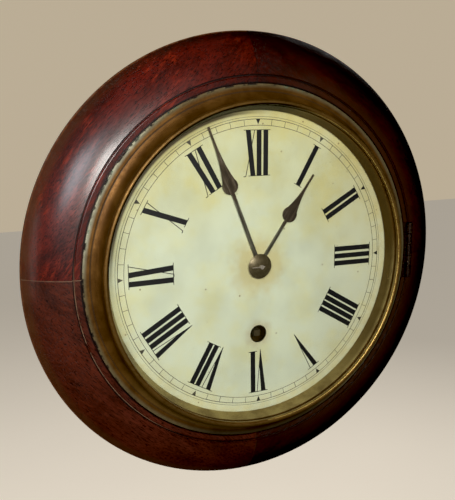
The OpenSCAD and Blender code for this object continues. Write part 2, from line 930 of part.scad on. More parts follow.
// Escape wheel teeth lean forward, with straight fronts and long sloping backs
module escape_outline() {
    polygon([for (i = [0:escape_teeth - 1], k = [0:3])
        polar(escape_r - [4, 0, 0, 4][k], 360 / escape_teeth * (i + [-0.08, -0.01, 0.02, 0.66][k]))]);
}

module escape_wheel() {
    toward_third = atan2(third_y - escape_y, third_x);
    placed() translate([0, escape_y, 0]) {
        color(steel_color) {
            rod(0.7, back_z + 0.2, inside_z + 0.3);
            rod(1.1, inside_z + 0.3, front_z - 0.3);
            rod(0.7, front_z - 0.3, plate_front - 0.2);
            translate([0, 0, third_z - 1.5]) gap_towards(6, toward_third) pinion(6, third_m, wheel_t + 3);
        }
        color(brass_color) translate([0, 0, escape_z]) difference() {
            linear_extrude(1.2) escape_outline();
            for (k = [0:3]) rotate(90 * k) translate([0, 0, -1])
                linear_extrude(4) polygon(concat(arc(10.5, 9, 81, 8), arc(4.5, 68, 22, 4)));
        }
    }
}

// Anchor with an entry and an exit pallet a quarter turn apart on the wheel
module pallets() {
    color(steel_color) placed() translate([0, pallet_y, 0]) {
        rod(0.8, 28.2, 33.5);
        rod(1.6, 33.5, front_z - 0.3);
        rod(0.7, front_z - 0.3, plate_front - 0.2);
        translate([0, 0, escape_z - 1]) linear_extrude(3.2) {
            circle(4.5);
            at_mirrored_x() {
                translate([0, -escape_r * sqrt(2)]) rotate(135)
                    translate([escape_r + 0.1, -0.7]) square([7, 1.4]);
                polygon([[0, 3.5], [-17.2, -5.4], [-15.6, -8.6], [0, -3.5]]);
            }
        }
    }
}

// ---- Pendulum ------------------------------------------------------------------------

module crutch() {
    color(steel_color) placed() translate([0, pallet_y, 0]) {
        difference() {
            union() {
                rod(3.2, 34, 37.5);
                translate([-1.5, -fork_drop, 34.5]) cube([3, fork_drop, 2]);
                translate([-4, -fork_drop, 34.5]) cube([8, 2.4, 2]);
                at_mirrored_x() translate([2, -fork_drop, 20]) cube([2, 2.4, 15]);
            }
            rod(1.6, 30, 40);
        }
    }
}

module suspension_spring() {
    color(steel_color) placed() translate([-0.1, pallet_y - 8, 20.5]) cube([0.2, 12, 7]);
}

module pendulum_rod() {
    color(steel_color) placed() translate([0, pallet_y, bob_z]) {
        rotate([90, 0, 0]) translate([0, 0, 14]) cylinder(r = rod_r, h = rod_low - 14);
        difference() {
            translate([-2.5, -14.5, -3.5]) cube([5, 7.5, 7]);
            translate([-0.1, -8, -4]) cube([0.2, 2, 8]);
        }
    }
}

// Lens-shaped bob with a clear hole for the rod
module pendulum_bob() {
    lens_r = (bob_r * bob_r + bob_t * bob_t / 4) / bob_t;
    color(brass_color) placed() translate([0, pallet_y - pendulum_len, bob_z]) difference() {
        intersection() {
            translate([0, 0, lens_r - bob_t / 2]) sphere(lens_r);
            translate([0, 0, bob_t / 2 - lens_r]) sphere(lens_r);
            rod(bob_r - 0.6, -bob_t, bob_t);
        }
        rotate([90, 0, 0]) translate([0, 0, -bob_r - 2]) cylinder(r = rod_r + run, h = 2 * bob_r + 4);
    }
}

module rating_nut() {
    color(brass_color) placed()
        translate([0, pallet_y - pendulum_len - bob_r - 0.2, bob_z]) rotate([90, 0, 0])
            difference() {
                union() {
                    cylinder(r = 4.5, h = nut_h - 2);
                    translate([0, 0, nut_h - 2]) cylinder(r = 2.6, h = 2);
                }
                translate([0, 0, -1]) cylinder(r = rod_r + run, h = nut_h + 2);
            }
}

// ---- Motion work and hands -----------------------------------------------------------

module cannon_wheel() {
    color(brass_color) placed() difference() {
        union() {
            translate([0, 0, plate_front + 1.2]) rotate(motion_angle)
                linear_extrude(1.6) polygon(gear_points(24, 0.72, 0.7, 1.2));
            rod(cannon_r, plate_front + 1.2, minute_hand_z + hand_t);
        }
        rod(arbor_tip_r + run, 0, 2 * dial_z);
    }
}

module minute_wheel() {
    color(brass_color) placed() rotate(motion_angle) translate([motion_reach, 0, 0]) difference() {
        union() {
            translate([0, 0, plate_front + 1.2]) gap_towards(36, 180)
                linear_extrude(1.6) polygon(gear_points(36, 0.72, 0.7, 1.2));
            translate([0, 0, plate_front + 2.8]) gap_towards(8, 180) pinion(8, 0.6, 5);
        }
        rod(1.3 + run, 0, 2 * dial_z);
    }
}

module hour_wheel() {
    color(brass_color) placed() difference() {
        union() {
            translate([0, 0, plate_front + 5.4])
                rotate(motion_angle) wheel(64, 0.6, 1.6, cannon_r + run, 4, 6, 3);
            ring(hour_pipe_r, cannon_r + run, plate_front + 5.4, hour_hand_z + hand_t);
        }
        rod(cannon_r + run, 0, 2 * dial_z);
    }
}

// Teardrop hand pointing along y: a slim shank, a round lobe and a long concave taper
module hand_outline(len, lobe, shank0, shank1, hub, hole) {
    centre = lobe * len;
    tip = 0.6;
    n = 18;
    function flare(t) = tip + (blade_w / 2 - tip) * pow(1 - t, 2.9);
    taper = [for (i = [0:n]) [flare(i / n), centre + (len - centre) * i / n]];
    difference() {
        union() {
            circle(hub);
            polygon([[-shank0 / 2, 0], [shank0 / 2, 0], [shank1 / 2, centre], [-shank1 / 2, centre]]);
            translate([0, centre]) circle(blade_w / 2);
            polygon(concat(taper, [for (i = [n:-1:0]) [-taper[i][0], taper[i][1]]]));
        }
        circle(hole);
    }
}

module minute_hand() {
    color(blued_color) placed() translate([0, 0, minute_hand_z]) rotate(-minute_deg)
        linear_extrude(hand_t) hand_outline(minute_len, 0.592, 2.7, 2.1, 6, cannon_r);
}

module hour_hand() {
    color(blued_color) placed() translate([0, 0, hour_hand_z]) rotate(-hour_deg)
        linear_extrude(hand_t) hand_outline(hour_len, 0.56, 2.5, 2, 6.4, hour_pipe_r);
}

// Domed collet held against the minute hand by a pin through the arbor
module hand_collet() {
    dome_r = (collet_r * collet_r + collet_h * collet_h) / (2 * collet_h);
    z0 = minute_hand_z + hand_t;
    color(steel_color) placed() difference() {
        intersection() {
            translate([0, 0, z0 + collet_h - dome_r]) sphere(dome_r);
            rod(collet_r, z0, z0 + collet_h);
        }
        rod(arbor_tip_r + run, 0, 2 * dial_z);
    }
}

// ---- Drawing -------------------------------------------------------------------------

surround_upper_right();
surround_upper_left();
surround_lower_left();
surround_lower_right();
surround_blocks();
case_pegs();
case_side_left();
case_side_right();
case_top();
case_bottom();
backboard();
hanging_plate();
wood_screws();
door_hinges();
side_door();
side_door_leaves();
side_catch();
bottom_door();
bottom_catch();
dial_plate();
dial_feet();
bezel_ring();
sight_ring();
bezel_glass();
bezel_leaf();
surround_leaf();
bezel_stud();
front_plate();
back_plate();
pillars();
taper_pins();
back_cock();
movement_screws();
barrel_arbor();
setup_ratchet();
mainspring();
barrel_drum();
barrel_cap();
fusee_chain();
fusee_cone();
fusee_arbor();
great_wheel();
winding_click();
centre_arbor();
centre_wheel();
third_wheel();
escape_wheel();
pallets();
crutch();
suspension_spring();
pendulum_rod();
pendulum_bob();
rating_nut();
cannon_wheel();
minute_wheel();
hour_wheel();
minute_hand();
hour_hand();
hand_collet();
hand_pin();
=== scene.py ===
"""The wall clock's looks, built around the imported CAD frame.

Places on the clock are in dial coordinates, in millimetres: x to the right, y up and z out from
the wall, with the dial's axis through the origin. phi is an angle round the dial, in degrees
clockwise from the top as seen from the front.
"""
import math

import bmesh
import bpy
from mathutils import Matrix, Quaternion, Vector


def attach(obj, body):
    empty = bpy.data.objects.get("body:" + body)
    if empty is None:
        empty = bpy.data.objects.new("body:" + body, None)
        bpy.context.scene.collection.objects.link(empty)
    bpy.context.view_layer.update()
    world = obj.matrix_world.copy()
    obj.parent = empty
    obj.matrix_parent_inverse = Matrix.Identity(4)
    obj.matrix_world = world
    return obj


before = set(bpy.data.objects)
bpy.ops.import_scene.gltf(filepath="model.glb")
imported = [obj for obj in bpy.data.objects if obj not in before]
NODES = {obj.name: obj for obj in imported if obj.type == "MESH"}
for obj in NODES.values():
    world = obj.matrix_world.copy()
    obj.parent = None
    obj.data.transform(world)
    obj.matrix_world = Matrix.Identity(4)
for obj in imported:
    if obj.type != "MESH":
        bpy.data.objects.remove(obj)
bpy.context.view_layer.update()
MM = 0.001

DIAL_FRONT = 105.0
HOLE_DROP = 46.6


def at(x, y, z):
    """A point in dial coordinates, as a point of the frame, in metres."""
    return Vector((x * MM, -z * MM, y * MM))


# ---------------------------------------------------------------- shading helpers
class Shade:
    """A material whose nodes are written as expressions.

    p is the object coordinate in millimetres, in the frame's axes. x, z, r, phi and depth are
    the place on the dial: right, up, from the axis, round the axis and out from the wall.
    """

    def __init__(self, name, **values):
        self.mat = bpy.data.materials.new(name)
        self.mat.use_nodes = True
        self.tree = self.mat.node_tree
        self.shader = self.tree.nodes["Principled BSDF"]
        for k, v in values.items():
            self.shader.inputs[k.replace("_", " ")].default_value = v
        metres = self.tree.nodes.new("ShaderNodeTexCoord").outputs["Object"]
        self.p = self.vec("MULTIPLY", metres, (1000, 1000, 1000))
        self.r = self.vec("LENGTH", self.vec("MULTIPLY", self.p, (1, 0, 1)))
        parts = self.tree.nodes.new("ShaderNodeSeparateXYZ")
        self.put(parts.inputs[0], self.p)
        self.x, back, self.z = parts.outputs
        self.depth = self.math("MULTIPLY", back, -1.0)
        self.phi = self.math("MULTIPLY", self.math("ARCTAN2", self.x, self.z), 180 / math.pi)

    def put(self, socket, value):
        """Links a node's output to the socket, or sets it to a constant."""
        if isinstance(value, bpy.types.NodeSocket):
            self.tree.links.new(value, socket)
        else:
            socket.default_value = value

    def set(self, name, value):
        self.put(self.shader.inputs[name], value)

    def math(self, op, a, b=0.0):
        n = self.tree.nodes.new("ShaderNodeMath")
        n.operation = op
        self.put(n.inputs[0], a)
        self.put(n.inputs[1], b)
        return n.outputs[0]

    def vec(self, op, a, b=(0.0, 0.0, 0.0)):
        n = self.tree.nodes.new("ShaderNodeVectorMath")
        n.operation = op
        self.put(n.inputs[0], a)
        self.put(n.inputs[1], b)
        return n.outputs["Value" if op == "LENGTH" else "Vector"]

    def turned(self, degrees, stretch):
        """p turned about the dial's axis, then divided by stretch."""
        n = self.tree.nodes.new("ShaderNodeVectorRotate")
        n.rotation_type = "Y_AXIS"
        self.put(n.inputs["Vector"], self.p)
        n.inputs["Angle"].default_value = math.radians(degrees)
        return self.vec("DIVIDE", n.outputs[0], stretch)

    def noise(self, spot, scale=1.0, detail=3.0, rough=0.55, warp=0.0):
        n = self.tree.nodes.new("ShaderNodeTexNoise")
        self.put(n.inputs["Vector"], spot)
        n.inputs["Scale"].default_value = scale
        n.inputs["Detail"].default_value = detail
        n.inputs["Roughness"].default_value = rough
        n.inputs["Distortion"].default_value = warp
        return n.outputs["Fac"]

    def cells(self, spot, scale):
        """The distance to the nearest of a scatter of points."""
        n = self.tree.nodes.new("ShaderNodeTexVoronoi")
        self.put(n.inputs["Vector"], spot)
        n.inputs["Scale"].default_value = scale
        return n.outputs["Distance"]

    def span(self, value, low, high, to_low=0.0, to_high=1.0):
        """to_low up to low and to_high from high on, with a smooth step between."""
        n = self.tree.nodes.new("ShaderNodeMapRange")
        n.interpolation_type = "SMOOTHSTEP"
        for socket, v in zip(n.inputs, (value, low, high, to_low, to_high)):
            self.put(socket, v)
        return n.outputs[0]

    def near(self, value, centre, half, soft):
        """1 where value is within half of centre, fading to 0 over soft."""
        away = self.math("ABSOLUTE", self.math("SUBTRACT", value, centre))
        return self.span(away, half, half + soft, 1.0, 0.0)

    def mix(self, share, a, b, blend="MIX"):
        n = self.tree.nodes.new("ShaderNodeMix")
        n.data_type, n.blend_type = "RGBA", blend
        self.put(n.inputs[0], share)
        for socket, v in ((n.inputs[6], a), (n.inputs[7], b)):
            self.put(socket, (*v, 1.0) if isinstance(v, tuple) else v)
        return n.outputs[2]

    def both(self, *shares):
        """The product of the shares."""
        total = shares[0]
        for share in shares[1:]:
            total = self.math("MULTIPLY", total, share)
        return total

    def bump(self, height, depth_mm, strength):
        n = self.tree.nodes.new("ShaderNodeBump")
        n.inputs["Strength"].default_value = strength
        n.inputs["Distance"].default_value = depth_mm * MM
        self.put(n.inputs["Height"], height)
        self.set("Normal", n.outputs[0])


def dress(shade, *names):
    """Gives the CAD nodes with these names the material."""
    for name in names:
        mesh = NODES[name].data
        mesh.materials.clear()
        mesh.materials.append(shade.mat)


def scaled(colour, factor):
    return tuple(c * factor for c in colour)


# ---------------------------------------------------------------- wood
# The joints between the surround's four planks: phi, and the colour of the line
LIGHT_LINE, DARK_LINE, BROWN_LINE = (0.16, 0.10, 0.06), (0.006, 0.003, 0.002), (0.05, 0.02, 0.012)
JOINTS = ((-88.5, LIGHT_LINE), (-0.5, DARK_LINE), (91.0, DARK_LINE), (-178.7, BROWN_LINE))
JOINT_HALF, JOINT_SOFT = 0.10, 0.25

# The surround's turned profile, by radius
BEZEL_GROOVE_R, OUTER_GROOVE_R, GROOVE_LIP_R = 116.3, 120.9, 120.3
INNER_CROWN_R, CROWN_R, OUTER_CROWN_R = 121.0, 130.0, 141.0
SLOPE_R, EDGE_R = (142.0, 146.5), (147.7, 148.4)


def mahogany(name, grain, dark, red, flame, glow, edge, coat):
    """French-polished mahogany of one plank of the surround.

    grain is the angle of the plank's length, glow is how much of the flame colour shows, edge is
    the colour of the painted wall reflection on the outer slope and, brighter, of the painted
    highlight on its worn edge, and coat is the weight of the polish.
    """
    s = Shade(name, Roughness=0.42, Coat_Weight=coat, Coat_Roughness=0.24, Coat_IOR=1.45,
              Specular_IOR_Level=0.22)
    figure = s.noise(s.turned(grain, (46.0, 13.0, 13.0)), 1.0, 3.0, 0.5, 0.4)
    mottle = s.noise(s.turned(grain, (2.6, 1.1, 1.1)), 1.0, 4.0, 0.65)
    streak = s.noise(s.turned(grain, (16.0, 1.0, 1.0)), 1.0, 3.0, 0.6)
    pores = s.noise(s.turned(grain, (4.2, 0.45, 0.45)), 1.0, 2.0, 0.5)
    fleck = s.noise(s.turned(grain + 8, (17.0, 2.6, 2.6)), 1.0, 4.0, 0.6, 0.2)
    patch = s.noise(s.p, 0.022, 2.0, 0.5)
    grime = s.noise(s.p, 0.09, 4.0, 0.65)
    wear = s.noise(s.p, 0.25, 3.0, 0.6)

    # the wood itself
    colour = s.mix(s.span(figure, 0.34, 0.68), dark, red)
    colour = s.mix(s.span(mottle, 0.40, 0.62, 0.0, 0.3), colour, scaled(red, 1.5))
    lit = s.both(s.span(fleck, 0.46, 0.72), s.span(patch, 0.42, 0.56, 0.15, 1.0), glow)
    colour = s.mix(lit, colour, flame)
    colour = s.mix(s.span(streak, 0.46, 0.70, 0.0, 0.45), colour, scaled(dark, 0.4))
    pore = s.span(pores, 0.56, 0.64, 0.0, 0.85)
    colour = s.mix(pore, colour, (0.004, 0.0015, 0.001))

    # painted shade darkens the wood towards the right, and it is browner inside; leftness is
    # 1 at the left and -1 at the right
    leftness = s.math("DIVIDE", s.x, s.math("MULTIPLY", s.r, -1.0))
    colour = s.mix(s.span(leftness, -0.6, 0.55, 1.0, 0.0), colour, (0.5, 0.5, 0.5), "MULTIPLY")
    warm = s.both(s.span(leftness, 0.1, -0.5), s.span(s.r, 134.0, INNER_CROWN_R), 0.6)
    colour = s.mix(warm, colour, (0.040, 0.016, 0.006))

    # dirt and painted shade in the two grooves, and a rubbed lip at the lower left with a
    # painted highlight
    groove = s.math("MAXIMUM", s.near(s.r, OUTER_GROOVE_R, 0.2, 0.5),
                    s.near(s.r, BEZEL_GROOVE_R, 0.35, 0.5))
    groove = s.both(groove, s.span(grime, 0.25, 0.6, 0.6, 1.0))
    colour = s.mix(groove, colour, (0.005, 0.0025, 0.002))
    rubbed = s.both(s.near(s.r, GROOVE_LIP_R, 0.12, 0.2), s.near(s.phi, -116.0, 22.0, 14.0),
                    s.span(grime, 0.35, 0.5))
    colour = s.mix(rubbed, colour, (0.21, 0.125, 0.075))

    # the outer slope carries a painted reflection of the wall, which turns to painted shade towards
    # the top and the right, the crown is in painted shade on the right, and the worn edge carries a
    # painted highlight
    slope_reflection = s.both(s.span(s.r, *SLOPE_R), s.span(grime, 0.25, 0.7, 0.4, 0.95))
    slope = s.mix(s.span(s.phi, -75.0, -12.0), edge, (0.010, 0.005, 0.003))
    colour = s.mix(slope_reflection, colour, slope)
    right_crown_shade = s.both(s.span(s.r, CROWN_R, OUTER_CROWN_R), s.span(leftness, 0.35, -0.25), 0.8)
    colour = s.mix(right_crown_shade, colour, (0.003, 0.0012, 0.0008))
    worn = s.both(s.span(s.r, *EDGE_R), s.span(wear, 0.40, 0.56, 0.35, 1.0))
    colour = s.mix(worn, colour, scaled(edge, 1.8))

    for angle, tint in JOINTS:
        turn = s.math("ADD", s.math("SUBTRACT", s.phi, angle), 540.0)
        wrapped = s.math("SUBTRACT", s.math("MODULO", turn, 360.0), 180.0)
        off_line = s.both(wrapped, math.pi / 180, s.r)
        line = s.near(off_line, 0.0, JOINT_HALF, JOINT_SOFT)
        colour = s.mix(s.both(line, s.span(grime, 0.3, 0.5, 0.5, 1.0)), colour, tint)
    s.set("Base Color", colour)
    s.set("Roughness", s.span(grime, 0.3, 0.75, 0.36, 0.52))
    rise = s.math("ADD", s.math("MULTIPLY", pore, -1.0), s.math("MULTIPLY", mottle, 0.35))
    s.bump(rise, 0.10, 0.8)
    return s


def box_wood(name, dark, light, dirt, scale, gloss):
    """Straight-grained case wood, with the grain running up. gloss is its mean roughness."""
    s = Shade(name, Roughness=gloss, Coat_Weight=0.15, Coat_Roughness=0.3)
    rings = s.noise(s.vec("DIVIDE", s.p, scaled((2.6, 2.6, 46.0), scale)), 1.0, 4.0, 0.6, 0.4)
    fine = s.noise(s.vec("DIVIDE", s.p, (0.5, 0.5, 9.0)), 1.0, 2.0, 0.5)
    grime = s.noise(s.p, 0.03, 4.0, 0.6)
    colour = s.mix(s.span(rings, 0.35, 0.68), dark, light)
    colour = s.mix(s.span(fine, 0.56, 0.7, 0.0, 0.6), colour, dirt)
    colour = s.mix(s.span(grime, 0.5, 0.75, 0.0, 0.5), colour, dirt)
    s.set("Base Color", colour)
    s.set("Roughness", s.span(rings, 0.3, 0.7, gloss + 0.12, gloss - 0.08))
    s.bump(s.math("ADD", rings, s.math("MULTIPLY", fine, -0.5)), 0.12, 0.5)
    return s


# ---------------------------------------------------------------- metals
# The bezel's profile, by radius: inner cone, crest, bead, cove, then the flange on the surround
CREST_R, BEAD_R, COVE_R, COVE_LINE_R = 103.0, 104.4, 108.2, 111.2
CREST_DEPTH = (117.0, 117.7)


def bezel_brass():
    """Brown patinated brass: verdigris on its flange, gold where rubbed, painted highlight and
    shade.
    """
    s = Shade("bezel_brass", Metallic=0.6, Roughness=0.36, Specular_IOR_Level=0.25)
    patch = s.noise(s.p, 0.07, 4.0, 0.6)
    fine = s.noise(s.p, 0.9, 3.0, 0.6)
    colour = s.mix(s.span(patch, 0.35, 0.65), (0.092, 0.040, 0.008), (0.155, 0.072, 0.016))

    # olive flange, with a painted highlight that makes it paler at the upper left
    flange = s.both(s.span(s.r, 112.6, 115.2), s.span(patch, 0.25, 0.6, 0.5, 1.0))
    olive = s.mix(s.near(s.phi, -62.0, 12.0, 20.0), (0.20, 0.160, 0.080), (0.46, 0.46, 0.33))
    colour = s.mix(flange, colour, olive)

    # inner cone: gold, with painted shade at the upper right and at its foot beside the dial on the
    # right
    cone = s.both(s.span(s.r, 102.9, 102.2), s.span(patch, 0.3, 0.65, 0.45, 0.95))
    shaded = s.near(s.phi, 52.0, 26.0, 22.0)
    gold = s.mix(shaded, (0.42, 0.335, 0.130), (0.13, 0.075, 0.016))
    colour = s.mix(cone, colour, gold)
    cone_foot_shade = s.both(s.span(s.r, 102.6, 101.3), s.near(s.phi, 75.0, 45.0, 45.0), 0.85)
    colour = s.mix(cone_foot_shade, colour, (0.085, 0.052, 0.012))

    # the flange is dark at the bottom
    bottom = s.both(s.span(s.z, -96.0, -111.0), s.span(s.r, 111.4, 112.4), 0.75)
    colour = s.mix(bottom, colour, (0.020, 0.010, 0.004))

    # cove: rubbed gold with a painted highlight at the lower right, painted shade at the upper
    # right, and painted light at the lower left
    rubbed = s.both(s.near(s.r, 107.6, 1.8, 2.0), s.near(s.phi, 104.0, 24.0, 20.0))
    rubbed = s.both(rubbed, s.span(patch, 0.3, 0.6, 0.5, 1.0))
    colour = s.mix(rubbed, colour, (0.31, 0.235, 0.060))
    cove = s.near(s.r, COVE_R, 2.2, 1.2)
    dark = s.both(cove, s.near(s.phi, 55.0, 12.0, 20.0), 0.65)
    colour = s.mix(dark, colour, (0.022, 0.012, 0.003))
    light = s.both(cove, s.near(s.phi, -150.0, 14.0, 20.0), 0.6)
    colour = s.mix(light, colour, (0.26, 0.150, 0.040))

    # bead, the crest's rubbed line on the right, and painted shade inside the crest at the upper
    # left
    bead = s.both(s.near(s.r, BEAD_R, 0.7, 0.7), s.span(fine, 0.3, 0.6, 0.2, 0.6))
    colour = s.mix(bead, colour, (0.15, 0.092, 0.026))
    crest = s.both(s.near(s.r, CREST_R, 0.08, 0.15), s.span(s.depth, *CREST_DEPTH),
                   s.near(s.phi, 100.0, 72.0, 20.0))
    colour = s.mix(s.both(crest, s.span(fine, 0.36, 0.5, 0.1, 0.9)), colour, (0.56, 0.42, 0.11))
    crest_shade = s.both(s.span(s.r, 104.2, 103.7), s.near(s.phi, -38.0, 44.0, 16.0))
    colour = s.mix(crest_shade, colour, (0.016, 0.009, 0.004))

    # verdigris and black dirt on the flange's rim, and a dark line outside the cove
    speckle = s.both(s.span(s.noise(s.p, 0.42, 3.0, 0.7), 0.50, 0.60), s.span(patch, 0.40, 0.55))
    specks = s.both(speckle, s.span(s.r, 113.9, 115.2), s.near(s.phi, -32.0, 40.0, 20.0))
    colour = s.mix(specks, colour, (0.085, 0.130, 0.085))
    blots = s.span(s.noise(s.vec("ADD", s.p, (9.0, 5.0, 3.0)), 0.16, 3.0, 0.6), 0.50, 0.60)
    black = s.both(blots, s.span(s.r, 114.3, 115.3), s.near(s.phi, -55.0, 55.0, 40.0))
    dirt = s.math("MAXIMUM", black, s.both(s.near(s.r, COVE_LINE_R, 0.2, 0.5), 0.6))
    colour = s.mix(dirt, colour, (0.012, 0.009, 0.006))
    s.set("Base Color", colour)
    s.set("Roughness", s.span(fine, 0.3, 0.7, 0.34, 0.52))
    s.set("Metallic", s.span(s.math("ADD", specks, dirt), 0.2, 0.8, 0.6, 0.1))
    s.bump(fine, 0.03, 0.35)
    return s


def hinge_patina():
    """Brass gone nearly black, with brighter rubbed specks."""
    s = Shade("hinge_patina", Metallic=0.4, Roughness=0.5, Specular_IOR_Level=0.2)
    patch = s.noise(s.p, 0.45, 4.0, 0.65)
    fine = s.noise(s.p, 1.6, 3.0, 0.6)
    colour = s.mix(s.span(patch, 0.42, 0.72), (0.008, 0.003, 0.002), (0.030, 0.016, 0.007))
    colour = s.mix(s.span(fine, 0.62, 0.74, 0.0, 0.7), colour, (0.30, 0.23, 0.12))
    s.set("Base Color", colour)
    s.set("Roughness", s.span(fine, 0.3, 0.7, 0.38, 0.6))
    s.bump(fine, 0.04, 0.4)
    return s


def plain_metal(name, colour, tarnish, rough, grain=(1.0, 1.0, 1.0), metallic=1.0):
    """A metal with tarnish in patches and finishing marks that are longest along grain."""
    s = Shade(name, Metallic=metallic, Roughness=rough)
    patch = s.noise(s.p, 0.06, 4.0, 0.6)
    fine = s.noise(s.vec("DIVIDE", s.p, grain), 1.6, 3.0, 0.6)
    base = s.mix(s.span(patch, 0.4, 0.75), colour, tarnish)
    base = s.mix(s.span(fine, 0.5, 0.8, 0.0, 0.5), base, scaled(tarnish, 0.5))
    s.set("Base Color", base)
    s.set("Roughness", s.span(fine, 0.3, 0.7, rough - 0.08, rough + 0.12))
    s.bump(fine, 0.02, 0.3)
    return s


def hand_steel(name, angle, bare):
    """Oxidised steel, filed along the hand: grey on the shank, out to radius bare, then brown."""
    s = Shade(name, Metallic=0.55, Roughness=0.42)
    patch = s.noise(s.p, 0.14, 4.0, 0.6)
    fine = s.noise(s.p, 1.3, 3.0, 0.6)
    file_marks = s.noise(s.turned(angle, (0.7, 1.0, 16.0)), 1.0, 3.0, 0.6)
    tone = s.span(patch, 0.35, 0.7)
    brown = s.mix(tone, (0.112, 0.084, 0.050), (0.170, 0.130, 0.084))
    grey = s.mix(tone, (0.185, 0.182, 0.125), (0.27, 0.262, 0.185))
    colour = s.mix(s.span(s.r, bare, bare + 5.0), grey, brown)
    colour = s.mix(s.span(file_marks, 0.40, 0.58, 0.75, 0.0), colour, (0.040, 0.028, 0.018))
    colour = s.mix(s.span(file_marks, 0.58, 0.70, 0.0, 0.5), colour, (0.34, 0.30, 0.24))
    colour = s.mix(s.span(fine, 0.55, 0.75, 0.0, 0.5), colour, (0.03, 0.02, 0.014))
    s.set("Base Color", colour)
    s.set("Roughness", s.span(fine, 0.3, 0.7, 0.33, 0.52))
    s.bump(file_marks, 0.03, 0.35)
    return s


def collet_metal():
    """Dark olive-brown brass with a dull polish."""
    s = Shade("collet_metal", Metallic=0.5, Roughness=0.38)
    patch = s.noise(s.p, 0.35, 3.0, 0.6)
    fine = s.noise(s.p, 1.8, 3.0, 0.6)
    colour = s.mix(s.span(patch, 0.35, 0.7), (0.105, 0.082, 0.038), (0.15, 0.12, 0.06))
    s.set("Base Color", s.mix(s.span(fine, 0.6, 0.75, 0.0, 0.5), colour, (0.04, 0.03, 0.014)))
    s.set("Roughness", s.span(patch, 0.3, 0.7, 0.32, 0.44))
    s.bump(fine, 0.01, 0.2)
    return s


# ---------------------------------------------------------------- paint and glass
def dial_paint():
    """Aged cream paint, stained yellow-brown round the centre, the winding hole and the edge."""
    s = Shade("dial_paint", Roughness=0.42, Coat_Weight=0.2, Coat_Roughness=0.25)
    cloud = s.noise(s.p, 0.035, 5.0, 0.62)
    small = s.noise(s.p, 0.16, 4.0, 0.6)
    fine = s.noise(s.p, 1.4, 3.0, 0.6)
    cream, yellow, brown = (0.75, 0.82, 0.59), (0.77, 0.79, 0.45), (0.68, 0.62, 0.30)
    colour = s.mix(s.span(cloud, 0.42, 0.72), cream, yellow)
    edge = s.both(s.span(s.r, 82.0, 99.0), s.span(small, 0.3, 0.65, 0.3, 0.9))
    colour = s.mix(s.both(edge, 0.75), colour, (0.72, 0.68, 0.34))

    # yellower at the top, darker to the right as painted shade, and a painted shadow of the bezel
    # at the upper left
    aged = s.both(s.near(s.phi, 8.0, 48.0, 40.0), s.span(s.r, 32.0, 62.0),
                  s.span(cloud, 0.3, 0.6, 0.6, 1.0))
    colour = s.mix(aged, colour, (0.93, 0.86, 0.66), "MULTIPLY")
    colour = s.mix(s.span(s.x, 15.0, 85.0), colour, (0.93, 0.90, 0.87), "MULTIPLY")
    bezel_shadow = s.both(s.near(s.phi, -45.0, 28.0, 26.0), s.span(s.r, 96.8, 98.3))
    colour = s.mix(s.both(bezel_shadow, 0.92), colour, (0.055, 0.032, 0.012))

    # stains with uneven edges round the centre and the winding hole
    halo = s.span(s.math("ADD", s.r, s.math("MULTIPLY", small, 18.0)), 34.0, 18.5)
    colour = s.mix(s.both(halo, 0.9), colour, brown)
    from_hole = s.vec("SUBTRACT", s.p, (0.0, 0.0, -HOLE_DROP))
    hole = s.vec("LENGTH", s.vec("MULTIPLY", from_hole, (1, 0, 1)))
    ring_stain = s.span(s.math("ADD", hole, s.math("MULTIPLY", small, 9.0)), 17.0, 8.5)
    colour = s.mix(s.both(ring_stain, 0.5), colour, (0.50, 0.38, 0.16))

    # brown specks, a few chips, and the hole's dark wall
    specks = s.both(s.span(s.cells(s.p, 0.11), 0.085, 0.05), s.span(cloud, 0.45, 0.55))
    colour = s.mix(s.both(specks, 0.7), colour, (0.22, 0.15, 0.07))
    chips = s.span(s.cells(s.vec("ADD", s.p, (31.0, 7.0, 13.0)), 0.05), 0.030, 0.018)
    colour = s.mix(s.both(chips, 0.85), colour, (0.10, 0.06, 0.03))
    wall = s.both(s.span(hole, 7.4, 6.2), s.span(s.depth, DIAL_FRONT - 0.05, DIAL_FRONT - 0.4))
    colour = s.mix(wall, colour, (0.085, 0.075, 0.04))
    s.set("Base Color", colour)
    s.set("Roughness", s.span(fine, 0.3, 0.7, 0.36, 0.5))
    s.bump(s.math("ADD", fine, s.math("MULTIPLY", small, 1.5)), 0.03, 0.3)
    return s


def numeral_paint():
    """The numerals' black, rubbed thin in places so that the cream shows."""
    s = Shade("numeral_paint", Roughness=0.45)
    rub = s.noise(s.p, 1.1, 3.0, 0.6)
    chips = s.span(s.cells(s.p, 0.5), 0.085, 0.05)
    worn = s.both(chips, s.span(s.noise(s.p, 0.12, 2.0), 0.48, 0.6))
    colour = s.mix(s.span(rub, 0.62, 0.8, 0.0, 0.35), (0.010, 0.0095, 0.010), (0.06, 0.05, 0.04))
    s.set("Base Color", s.mix(worn, colour, (0.45, 0.43, 0.28)))
    s.bump(rub, 0.01, 0.3)
    return s


def track_ink():
    """The minute track's thin black, faded in patches."""
    s = Shade("track_ink", Roughness=0.5)
    faded = s.noise(s.p, 0.12, 3.0)
    s.set("Base Color", s.mix(s.span(faded, 0.35, 0.7), (0.02, 0.019, 0.014), (0.12, 0.11, 0.07)))
    return s


def clear_glass():
    """Old sheet glass with a thin film of dust."""
    s = Shade("clear_glass", Base_Color=(0.02, 0.025, 0.02, 1.0), Roughness=0.06, IOR=1.5)
    film = s.noise(s.p, 0.05, 4.0, 0.6)
    s.set("Alpha", s.span(film, 0.35, 0.75, 0.035, 0.07))
    return s


# ---------------------------------------------------------------- what each node is made of
# the outer slope's colour of painted reflection and highlight: lit on the left, dim on the right
LIT_EDGE, DIM_EDGE = (0.078, 0.028, 0.010), (0.014, 0.005, 0.003)
